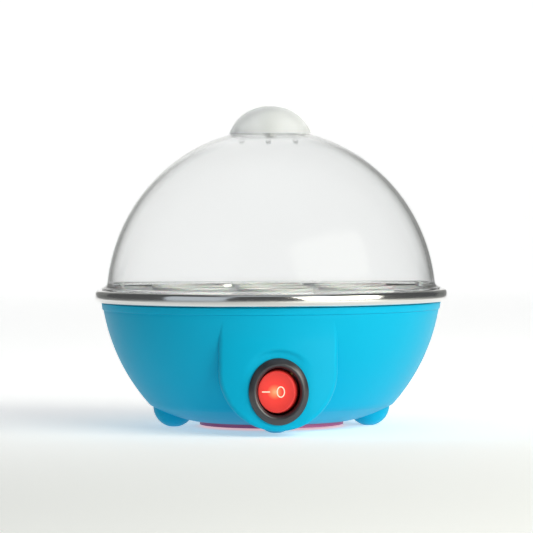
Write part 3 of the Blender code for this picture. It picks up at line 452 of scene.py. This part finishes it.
def tongue(inset, count=120):
    """The fascia's outline, an upright with a half-round end, as evenly spaced points."""
    half = fascia_half - inset
    middle = fascia_low + fascia_half
    side = fascia_top - middle
    length = 2 * half + 2 * side + math.pi * half
    points = []
    for at in range(count):
        run = length * at / count
        if run < side:
            points.append((half, fascia_top - run))
        elif run < side + math.pi * half:
            angle = (run - side) / half
            points.append((half * math.cos(angle), middle - half * math.sin(angle)))
        elif run < 2 * side + math.pi * half:
            points.append((-half, middle + run - side - math.pi * half))
        else:
            points.append((-half + run - 2 * side - math.pi * half, fascia_top))
    return points


def fascia_form():
    form = bmesh.new()
    rings = []
    rings.append([form.verts.new((x, back_y(x, z), z)) for x, z in tongue(0.0)])
    for step in range(7):
        angle = math.radians(90 * step / 6)
        inset = edge_round * (1 - math.cos(angle))
        sink = edge_round * (1 - math.sin(angle))
        rings.append([form.verts.new((x, face_y(x, z) + sink, z)) for x, z in tongue(inset)])
    rim = tongue(edge_round)
    for step in range(1, 31):
        share = step / 30
        ring = []
        for x, z in rim:
            angle = math.atan2((z - switch_z) / oval, x)
            hole = (hole_half * math.cos(angle), switch_z + hole_half * oval * math.sin(angle))
            across = x + (hole[0] - x) * share
            height = z + (hole[1] - z) * share
            ring.append(form.verts.new((across, face_y(across, height), height)))
        rings.append(ring)
    rings.append([form.verts.new((v.co.x, land_y + 6 * MM, v.co.z)) for v in rings[-1]])
    for outer, inner in zip(rings, rings[1:]):
        for at in range(len(outer)):
            after = (at + 1) % len(outer)
            form.faces.new((outer[at], outer[after], inner[after], inner[at]))
    bmesh.ops.recalc_face_normals(form, faces=form.faces)
    return form


fascia = fascia_form()

# %% [markdown]
# The bowl is opened behind the fascia, so that the switch has room, and at the back where the
# lead goes in, where a round boss stands as a piece of its own. The cuts are made in the whole
# form before the bowl is placed, because a placed piece is final.
# %% Housing, fascia and cord boss
gland_low, gland_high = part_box("cord_gland")
gland_z = (gland_low.z + gland_high.z) / 2
boss_face = gland_high.y - 1.6 * MM
boss_radius = 8.0 * MM
switch_room = rod((0, -rim_radius, switch_z), (0, room_back, switch_z), hole_half * oval, steps=64)
cord_way = rod((0, 45 * MM, gland_z), (0, rim_radius, gland_z), 4.8 * MM)
bowl = carved(bowl, [switch_room, cord_way])
placed("bowl", bowl, "base", "blue_plastic", "base_housing")
placed("fascia", fascia, "base", "blue_plastic", sharp=60)
boss = eased([
    (4.8 * MM, 0.0), (boss_radius, 0.0), (boss_radius, boss_face - 56 * MM), (4.8 * MM, boss_face - 56 * MM),
], 0.8 * MM)
boss = turned(boss, 64)
to_back = Matrix.Translation((0, 56 * MM, gland_z)) @ Matrix.Rotation(-math.pi / 2, 4, "X")
bmesh.ops.transform(boss, matrix=to_back, verts=boss.verts)
placed("cord_boss", boss, "base", "blue_plastic")

# %% [markdown]
# ## Underneath
# Four ball feet, each with a small flat, carry the cooker. A whole ball would touch the floor in
# one point, so its outline is an arc that stops at the flat.
# %% Feet
ball = 10.4 * MM
lift = ball - 0.3 * MM
flat = math.degrees(math.asin(lift / ball))
foot_circle = 48.8 * MM
for side in ("left", "right", "front", "rear"):
    foot = turned([(0.0, lift + ball), *arc((0.0, lift), ball, 80, -flat, 24), (0.0, 0.0)], 64, closed=False)
    centre = {"left": (-1, 0), "right": (1, 0), "front": (0, -1), "rear": (0, 1)}[side]
    shift = Matrix.Translation((centre[0] * foot_circle, centre[1] * foot_circle, 0.0))
    bmesh.ops.transform(foot, matrix=shift, verts=foot.verts)
    placed(f"ball_foot_{side}", foot, "base", "blue_plastic", f"foot_{side}", sharp=60)

# %% [markdown]
# The cover that closes the base is a pink disc with slots that let the heat out and holes for its
# screws, all cut from a plain disc. A soft turned ring lines the cord hole.
# %% Base cover and cord gland
cover_low, cover_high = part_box("base_cover")
cover = rod((0, 0, cover_low.z), (0, 0, cover_high.z), cover_radius, steps=128)
slot_half_long = 12 * MM
slot_half_wide = 1.2 * MM
slot_pitch = 6 * MM
screw_circle = 32.5 * MM
screw_hole = 1.8 * MM
past_cover = 2 * cover_high.z
slots = []
for at in range(-2, 3):
    near, far = at * slot_pitch - slot_half_wide, at * slot_pitch + slot_half_wide
    slots.append(block((-slot_half_long, near, 0.0), (slot_half_long, far, past_cover)))
for angle in (90, 210, 330):
    x = screw_circle * math.cos(math.radians(angle))
    y = screw_circle * math.sin(math.radians(angle))
    slots.append(rod((x, y, 0.0), (x, y, past_cover), screw_hole, steps=24))
placed("cover", carved(cover, slots), "base", "pink_plastic", "base_cover")
gland_radius = radius_of("cord_gland")
gland_deep = gland_high.y - gland_low.y
gland_bore = 3.3 * MM
gland_neck = 4.5 * MM
flange = gland_deep - 1.3 * MM
gland = turned(eased([
    (gland_bore, 0.0), (gland_neck, 0.0), (gland_neck, flange), (gland_radius, flange),
    (gland_radius, gland_deep), (gland_bore, gland_deep),
], 0.4 * MM), 64)
to_gland = Matrix.Translation((0, gland_low.y, gland_z)) @ Matrix.Rotation(-math.pi / 2, 4, "X")
bmesh.ops.transform(gland, matrix=to_gland, verts=gland.verts)
placed("gland", gland, "base", "black_rubber", "cord_gland")

# %% [markdown]
# ## The switch
# The switch is a bought part: a black body with an oval frame that clips into the fascia, and a
# red rocker that a lamp lights from inside. Both are turned forms, stretched a little in height
# and stood up to face forward.
# %% Switch frame
bezel_back, bezel_front = land_y - 0.3 * MM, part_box("switch_body")[0].y
bezel_half = radius_of("switch_body")
bezel_thick = bezel_back - bezel_front
well = 10.2 * MM


def stood_up(form, y, tilt=0.0):
    """Turns a form to face forward at the switch, stretched to its oval."""
    face = Matrix.Rotation(tilt, 4, "Z") @ Matrix.Rotation(math.pi / 2, 4, "X")
    place = Matrix.Translation((0.0, y, switch_z))
    bmesh.ops.transform(form, matrix=place @ face @ Matrix.Diagonal((1.0, oval, 1.0, 1.0)), verts=form.verts)
    return form


body_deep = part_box("switch_body")[1].y - bezel_back
plug_half = 12.1 * MM
well_floor = 2.5 * MM - body_deep
frame_outline = eased([
    (well, well_floor), (well, bezel_thick * 0.45), (11.2 * MM, bezel_thick * 0.93),
    (12.0 * MM, bezel_thick), (bezel_half - 0.5 * MM, bezel_thick * 0.42),
    (bezel_half, bezel_thick * 0.2), (bezel_half, 0.0), (plug_half, 0.0),
    (plug_half, -body_deep), (0.0, -body_deep), (0.0, well_floor),
], 0.35 * MM, closed=False)
switch_frame = stood_up(turned(frame_outline, 96), bezel_back)
placed("switch_frame", switch_frame, "base", "black_plastic", "switch_body")

# %% [markdown]
# The rocker's face is dished a little, and its side widens to a skirt that hides the gap. The
# marks are shallow raised shapes: a bar for on and a ring for off.
# %% Rocker
rocker_pivot = Vector(next(j for j in frame["joints"] if j["name"] == "rocker_tilt")["pos_m"])
rocker_tilt = math.radians(-10)
rocker_tall = 7.0 * MM
rocker_face = 8.9 * MM
skirt = 9.6 * MM
dish = 0.35 * MM


def dish_at(radius):
    return rocker_tall - dish * (1 - min(radius / rocker_face, 1.0) ** 2)


face_curve = [(rocker_face * 0.9 * at / 10, dish_at(rocker_face * 0.9 * at / 10)) for at in range(11)]
side_curve = eased([
    (rocker_face * 0.9, dish_at(rocker_face * 0.9)), (rocker_face, rocker_tall), (skirt, 0.0),
    (skirt, -0.8 * MM), (skirt - 1.4 * MM, -0.8 * MM), (0.0, 0.0),
], 0.6 * MM, closed=False)
rocker = stood_up(turned([*face_curve[:-1], *side_curve], 96, closed=False), rocker_pivot.y, rocker_tilt)
rocker_piece = placed("rocker", rocker, "rocker", "red_plastic", "switch_rocker")

# %% [markdown]
# The lamp behind the rocker makes a warm patch in its middle. It is an emission that fades with
# the distance from the lamp, so it stays with the rocker when that turns.
# %% The lit rocker
lit = finish("rocker_lit", (0.7, 0.04, 0.035), 0.3, Specular_IOR_Level=0.4)
lit_nodes, lit_links = lit.node_tree.nodes, lit.node_tree.links
place = lit_nodes.new("ShaderNodeTexCoord")
reach = lit_nodes.new("ShaderNodeVectorMath")
reach.operation = "DISTANCE"
reach.inputs[1].default_value = rocker_pivot + Vector((-2.0 * MM, -rocker_tall, 0.0))
fade = lit_nodes.new("ShaderNodeValToRGB")
stops = fade.color_ramp
stops.elements[0].position = 0.0
stops.elements[0].color = (1.0, 0.62, 0.3, 1.0)
stops.elements[1].position = 1.0
stops.elements[1].color = (0.02, 0.0, 0.0, 1.0)
for position, colour in ((0.16, (0.9, 0.3, 0.1, 1.0)), (0.38, (0.35, 0.02, 0.01, 1.0))):
    stops.elements.new(position).color = colour
scale = lit_nodes.new("ShaderNodeMath")
scale.operation = "MULTIPLY"
scale.inputs[1].default_value = 1 / (10 * MM)
lit_links.new(place.outputs["Object"], reach.inputs[0])
lit_links.new(reach.outputs["Value"], scale.inputs[0])
lit_links.new(scale.outputs["Value"], fade.inputs["Fac"])
lit_links.new(fade.outputs["Color"], lit.node_tree.nodes["Principled BSDF"].inputs["Emission Color"])
lit.node_tree.nodes["Principled BSDF"].inputs["Emission Strength"].default_value = 0.8
rocker_piece.data.materials[0] = lit
print("rocker lit around", [round(v / MM, 1) for v in reach.inputs[1].default_value])

# %% [markdown]
# The marks follow the dished face.
# %% On and off marks
finish("mark_glow", (0.95, 0.62, 0.5), 0.4, Emission_Color=(1.0, 0.5, 0.35, 1.0), Emission_Strength=0.5)
mark_rise = 0.12 * MM


def mark(outline_outer, outline_inner=None):
    """A low raised shape on the rocker's face, from one outline or between two."""
    form = bmesh.new()
    low = []
    high = []
    for path in (outline_outer, outline_inner):
        if path is None:
            continue
        heights = [dish_at(math.hypot(x, y)) for x, y in path]
        low.append([form.verts.new((x, y, z - 0.2 * MM)) for (x, y), z in zip(path, heights)])
        high.append([form.verts.new((x, y, z + mark_rise)) for (x, y), z in zip(path, heights)])
    count = len(outline_outer)
    if outline_inner is None:
        form.faces.new(high[0])
        form.faces.new(list(reversed(low[0])))
        loops = [(high[0], low[0])]
    else:
        loops = [(high[0], low[0]), (low[1], high[1]), (high[1], high[0]), (low[0], low[1])]
    for first, second in loops:
        for at in range(count):
            after = (at + 1) % count
            form.faces.new((first[at], second[at], second[after], first[after]))
    bmesh.ops.recalc_face_normals(form, faces=form.faces)
    return stood_up(form, rocker_pivot.y, rocker_tilt)


def oval_line(centre, wide, tall, count=48):
    angles = [math.tau * at / count for at in range(count)]
    return [(centre[0] + wide * math.cos(a), centre[1] + tall * math.sin(a)) for a in angles]


bar_ends = (-6.9 * MM, -3.1 * MM)
line_half = 0.25 * MM
bar = [(x, y) for x, y in ((bar_ends[0], -line_half), (bar_ends[1], -line_half),
                           (bar_ends[1], line_half), (bar_ends[0], line_half))]
ring_outer = oval_line((2.1 * MM, 0.0), 2.0 * MM, 2.45 * MM)
ring_inner = oval_line((2.1 * MM, 0.0), 2.0 * MM - 2 * line_half, 2.45 * MM - 2 * line_half)
placed("on_mark", mark(bar), "rocker", "red_plastic", look="mark_glow")
placed("off_mark", mark(ring_outer, ring_inner), "rocker", "red_plastic", look="mark_glow")

# %% [markdown]
# ## The egg tray
# The tray rests on a ledge inside the pan's rim. Each of its seven holes has a raised collar that
# steadies the egg, and two finger tabs lift it out. It is a disc with cups and tabs added and
# holes taken away. The sides of the cups and holes lean a little, as on a moulding that has to
# leave its mould.
# %% Tray
tray_thick = 1.6 * MM
tray_top = tray_low + tray_thick
egg_circle = 47.5 * MM
egg_hole = 16.5 * MM
collar_top = tray_top + 4.0 * MM
hole_places = [(0.0, 0.0)]
for at in range(6):
    angle = math.tau * at / 6 - math.pi / 2
    hole_places.append((egg_circle * math.cos(angle), egg_circle * math.sin(angle)))
added = []
taken = []
for x, y in hole_places:
    foot, crown = (x, y, tray_low + 0.4 * MM), (x, y, collar_top)
    added.append(rod(foot, crown, egg_hole + 2.1 * MM, egg_hole + 1.8 * MM, 64))
    below, above = (x, y, tray_low - MM), (x, y, collar_top + MM)
    taken.append(rod(below, above, egg_hole - MM, egg_hole + 0.9 * MM, 64))
tab_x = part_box("egg_tray")[1].x - 5.7 * MM
for way in (-1, 1):
    across = sorted((way * tab_x, way * (tab_x - tray_thick)))
    added.append(block((across[0], -8 * MM, tray_low + 0.4 * MM), (across[1], 8 * MM, top_of("egg_tray"))))
for at in range(6):
    spin = Matrix.Rotation(math.tau * at / 6, 4, "Z")
    slot = block((62 * MM, -1.5 * MM, tray_low - MM), (70 * MM, 1.5 * MM, tray_top + MM))
    bmesh.ops.transform(slot, matrix=spin, verts=slot.verts)
    taken.append(slot)
tray = rod((0, 0, tray_low), (0, 0, tray_top), tray_radius, steps=160)
tray = carved(carved(tray, added, "UNION"), taken)
placed("tray", tray, "tray", "tray_plastic", "egg_tray")

# %% [markdown]
# ## The dome and its knob
# The dome is a blown-looking half ellipse that flares out at its foot to sit on the rim, with a
# short lip inside that keeps it centred. Both sides of its wall are modelled, so that light
# bends through it as through real plastic. Three small vents at the back let the steam out.
# %% Dome
dome_wide = 82.57 * MM
dome_tall = 86.27 * MM
dome_z = 62.25 * MM
dome_wall = 2.0 * MM
flare_z = 72.3 * MM
seat = pan_top + 0.3 * MM
lip_outer = tray_radius
lip_low = bottom_of("lid_dome")


def dome_side(inset, start, low, count):
    """The dome from near its top down to a height, moved in by an inset."""
    wide = dome_wide - inset
    tall = dome_tall - inset
    first = math.acos(start / wide)
    last = math.asin((low - dome_z) / tall)
    path = []
    for step in range(count + 1):
        angle = first + (last - first) * step / count
        path.append((wide * math.cos(angle), dome_z + tall * math.sin(angle)))
    return path


outer = dome_side(0.0, 1.8 * MM, flare_z, 56)
inner = dome_side(dome_wall, 1.8 * MM, flare_z, 48)
foot_radius = outer[-1][0]
flare = []
for step in range(1, 8):
    angle = math.pi / 2 * step / 8
    flare.append((foot_radius + (lid_radius - foot_radius) * (1 - math.cos(angle)),
                  flare_z - (flare_z - seat - 0.5 * MM) * math.sin(angle)))
hem = eased([
    (lid_radius, seat + 0.5 * MM), (lid_radius, seat), (lip_outer, seat), (lip_outer, lip_low),
    (lip_outer - 0.9 * MM, lip_low), (inner[-1][0], seat),
], 0.25 * MM, closed=False)
dome = turned([*outer, *flare, *hem, *reversed(inner)], 160)
vent_circle = 24 * MM
vent_radius = 1.3 * MM
vent_turn = math.radians(35)
vent_low, vent_high = 120 * MM, 160 * MM
vents = []
for at in (-1, 0, 1):
    angle = math.pi / 2 + at * vent_turn
    x, y = vent_circle * math.cos(angle), vent_circle * math.sin(angle)
    vents.append(rod((x, y, vent_low), (x, y, vent_high), vent_radius, steps=32))
placed("dome", carved(dome, vents), "lid", "clear_plastic", "lid_dome")

# %% [markdown]
# The knob is a hollow cap, the top of a ball 40 mm across, open below, with a post
# down the middle that a screw holds from inside the dome.
# %% Knob
knob_top = top_of("lid_knob")
knob_low = bottom_of("lid_knob")
knob_sphere = 20.4 * MM
knob_wall = 1.8 * MM
knob_centre = knob_top - knob_sphere
knob_lean = radius_of("lid_knob") - math.sqrt(knob_sphere ** 2 - (knob_low - knob_centre) ** 2)
knob_foot = math.degrees(math.asin((knob_low - knob_centre) / knob_sphere))
knob_inner = knob_sphere - knob_wall
inner_foot = math.degrees(math.asin((knob_low - knob_centre) / knob_inner))
post = 4.2 * MM
post_low = dome_z + dome_tall + 0.3 * MM
cap = [
    (0.0, knob_top), *arc((knob_lean, knob_centre), knob_sphere, 86, knob_foot, 24),
    *arc((knob_lean, knob_centre), knob_inner, inner_foot, 80, 20),
    (post, knob_top - knob_wall), (post, post_low), (0.0, post_low),
]
placed("knob", turned(cap, 96, closed=False), "lid", "frosted_plastic", "lid_knob")

# %% [markdown]
# ## Floor, light and camera
# The cooker stands on a pale floor that sweeps up far behind it and glows a little there. Two
# large soft lights stand in front, one to each side, and the space between them stays darker:
# that is what puts bright and dark bands on the polished rim. The right one is stronger, so the
# bowl grows lighter to that side.
# %% Floor
floor_finish = bpy.data.materials.new("floor_paper")
floor_finish.use_nodes = True
paper = floor_finish.node_tree.nodes["Principled BSDF"]
paper.inputs["Base Color"].default_value = (0.9, 0.9, 0.9, 1.0)
paper.inputs["Roughness"].default_value = 0.9
paper.inputs["Emission Color"].default_value = (1.0, 1.0, 1.0, 1.0)
paper_links = floor_finish.node_tree.links
place = floor_finish.node_tree.nodes.new("ShaderNodeTexCoord")
split = floor_finish.node_tree.nodes.new("ShaderNodeSeparateXYZ")
glow = floor_finish.node_tree.nodes.new("ShaderNodeMapRange")
glow.interpolation_type = "SMOOTHSTEP"
glow.inputs["From Min"].default_value = -0.5
glow.inputs["From Max"].default_value = 0.4
glow.inputs["To Min"].default_value = 0.1
glow.inputs["To Max"].default_value = 0.66
aside = floor_finish.node_tree.nodes.new("ShaderNodeMath")
aside.operation = "ABSOLUTE"
narrow = floor_finish.node_tree.nodes.new("ShaderNodeMapRange")
narrow.interpolation_type = "SMOOTHSTEP"
narrow.inputs["From Min"].default_value = 0.47
narrow.inputs["From Max"].default_value = 0.75
narrow.inputs["To Min"].default_value = 1.0
narrow.inputs["To Max"].default_value = 0.0
both = floor_finish.node_tree.nodes.new("ShaderNodeMath")
both.operation = "MULTIPLY"
paper_links.new(place.outputs["Object"], split.inputs["Vector"])
paper_links.new(split.outputs["Y"], glow.inputs["Value"])
paper_links.new(split.outputs["X"], aside.inputs[0])
paper_links.new(aside.outputs["Value"], narrow.inputs["Value"])
paper_links.new(glow.outputs["Result"], both.inputs[0])
paper_links.new(narrow.outputs["Result"], both.inputs[1])
paper_links.new(both.outputs["Value"], paper.inputs["Emission Strength"])
sweep = bmesh.new()
sweep_start, sweep_radius = 2.1, 0.6
rows = [(-3.0, 0.0), (sweep_start, 0.0)]
for step in range(1, 13):
    angle = math.pi / 2 * step / 12
    behind, up = math.sin(angle), 1 - math.cos(angle)
    rows.append((sweep_start + sweep_radius * behind, sweep_radius * up))
rows.append((sweep_start + sweep_radius, 3.0))
edges = [[sweep.verts.new((side * 2.5, y, z)) for side in (-1, 1)] for y, z in rows]
for near, far in zip(edges, edges[1:]):
    sweep.faces.new((near[0], near[1], far[1], far[0]))
floor_mesh = bpy.data.meshes.new("floor")
sweep.to_mesh(floor_mesh)
sweep.free()
floor_mesh.materials.append(floor_finish)
floor_mesh.shade_smooth()
floor = bpy.data.objects.new("floor", floor_mesh)
bpy.context.scene.collection.objects.link(floor)
floor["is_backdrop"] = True

# %% [markdown]
# Each light is a large rectangle that faces the cooker. Its direction is given as an angle from
# the front, which is easier to reason about than a position.
# %% Lights
world = bpy.data.worlds.new("studio")
world.use_nodes = True
world.node_tree.nodes["Background"].inputs["Color"].default_value = (0.93, 0.97, 1.0, 1.0)
world.node_tree.nodes["Background"].inputs["Strength"].default_value = 0.1
bpy.context.scene.world = world


def softbox(name, angle, height, distance, wide, tall, power, colour):
    light = bpy.data.lights.new(name, "AREA")
    light.shape = "RECTANGLE"
    light.size = wide
    light.size_y = tall
    light.energy = power
    light.color = colour
    lamp = bpy.data.objects.new(name, light)
    turn = math.radians(angle)
    lamp.location = (distance * math.sin(turn), -distance * math.cos(turn), height)
    aim = Vector((0.0, 0.0, 0.06)) - lamp.location
    lamp.rotation_euler = aim.to_track_quat("-Z", "Y").to_euler()
    bpy.context.scene.collection.objects.link(lamp)


softbox("right_light", 44, 0.55, 1.3, 1.4, 1.0, 24, (1.0, 1.0, 0.9))
softbox("left_light", -52, 0.5, 1.3, 1.1, 1.0, 2.0, (0.8, 0.9, 1.0))
softbox("top_light", 0, 1.5, 0.3, 1.2, 1.2, 2, (0.85, 0.93, 1.0))

# %% [markdown]
# A long lens from nearly two metres keeps the upright lines parallel. The camera is a little
# above the rim and slightly to the left, so the tray and the face of the switch just show.
# %% Camera
camera_distance = 1.8
camera_turn = math.radians(-2.4)
camera_height = 0.128
look_at = Vector((-0.0022, 0.0, 0.0797))
camera_data = bpy.data.cameras.new("camera")
camera_data.lens = 243
camera_data.sensor_width = 36
camera = bpy.data.objects.new("camera", camera_data)
camera.location = look_at + Vector((
    camera_distance * math.sin(camera_turn), -camera_distance * math.cos(camera_turn),
    camera_height - look_at.z))
level = (look_at - camera.location).to_track_quat("-Z", "Y").to_matrix().to_4x4()
roll = Matrix.Rotation(math.radians(-0.25), 4, "Z")
camera.rotation_euler = (level @ roll).to_euler()
bpy.context.scene.collection.objects.link(camera)
bpy.context.scene.camera = camera
bpy.context.scene.view_settings.view_transform = "Standard"

# %% [markdown]
# ## Measuring what is shown
# The finer pieces must not grow past the exact ones, so both boxes are measured and printed.
# %% Sizes
bpy.context.view_layer.update()
low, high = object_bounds()
sizes = {"cad": [list(cad_low), list(cad_high)], "shown": [list(low), list(high)]}
for label, (a, b) in sizes.items():
    print(label, [round((y - x) / MM, 2) for x, y in zip(a, b)])
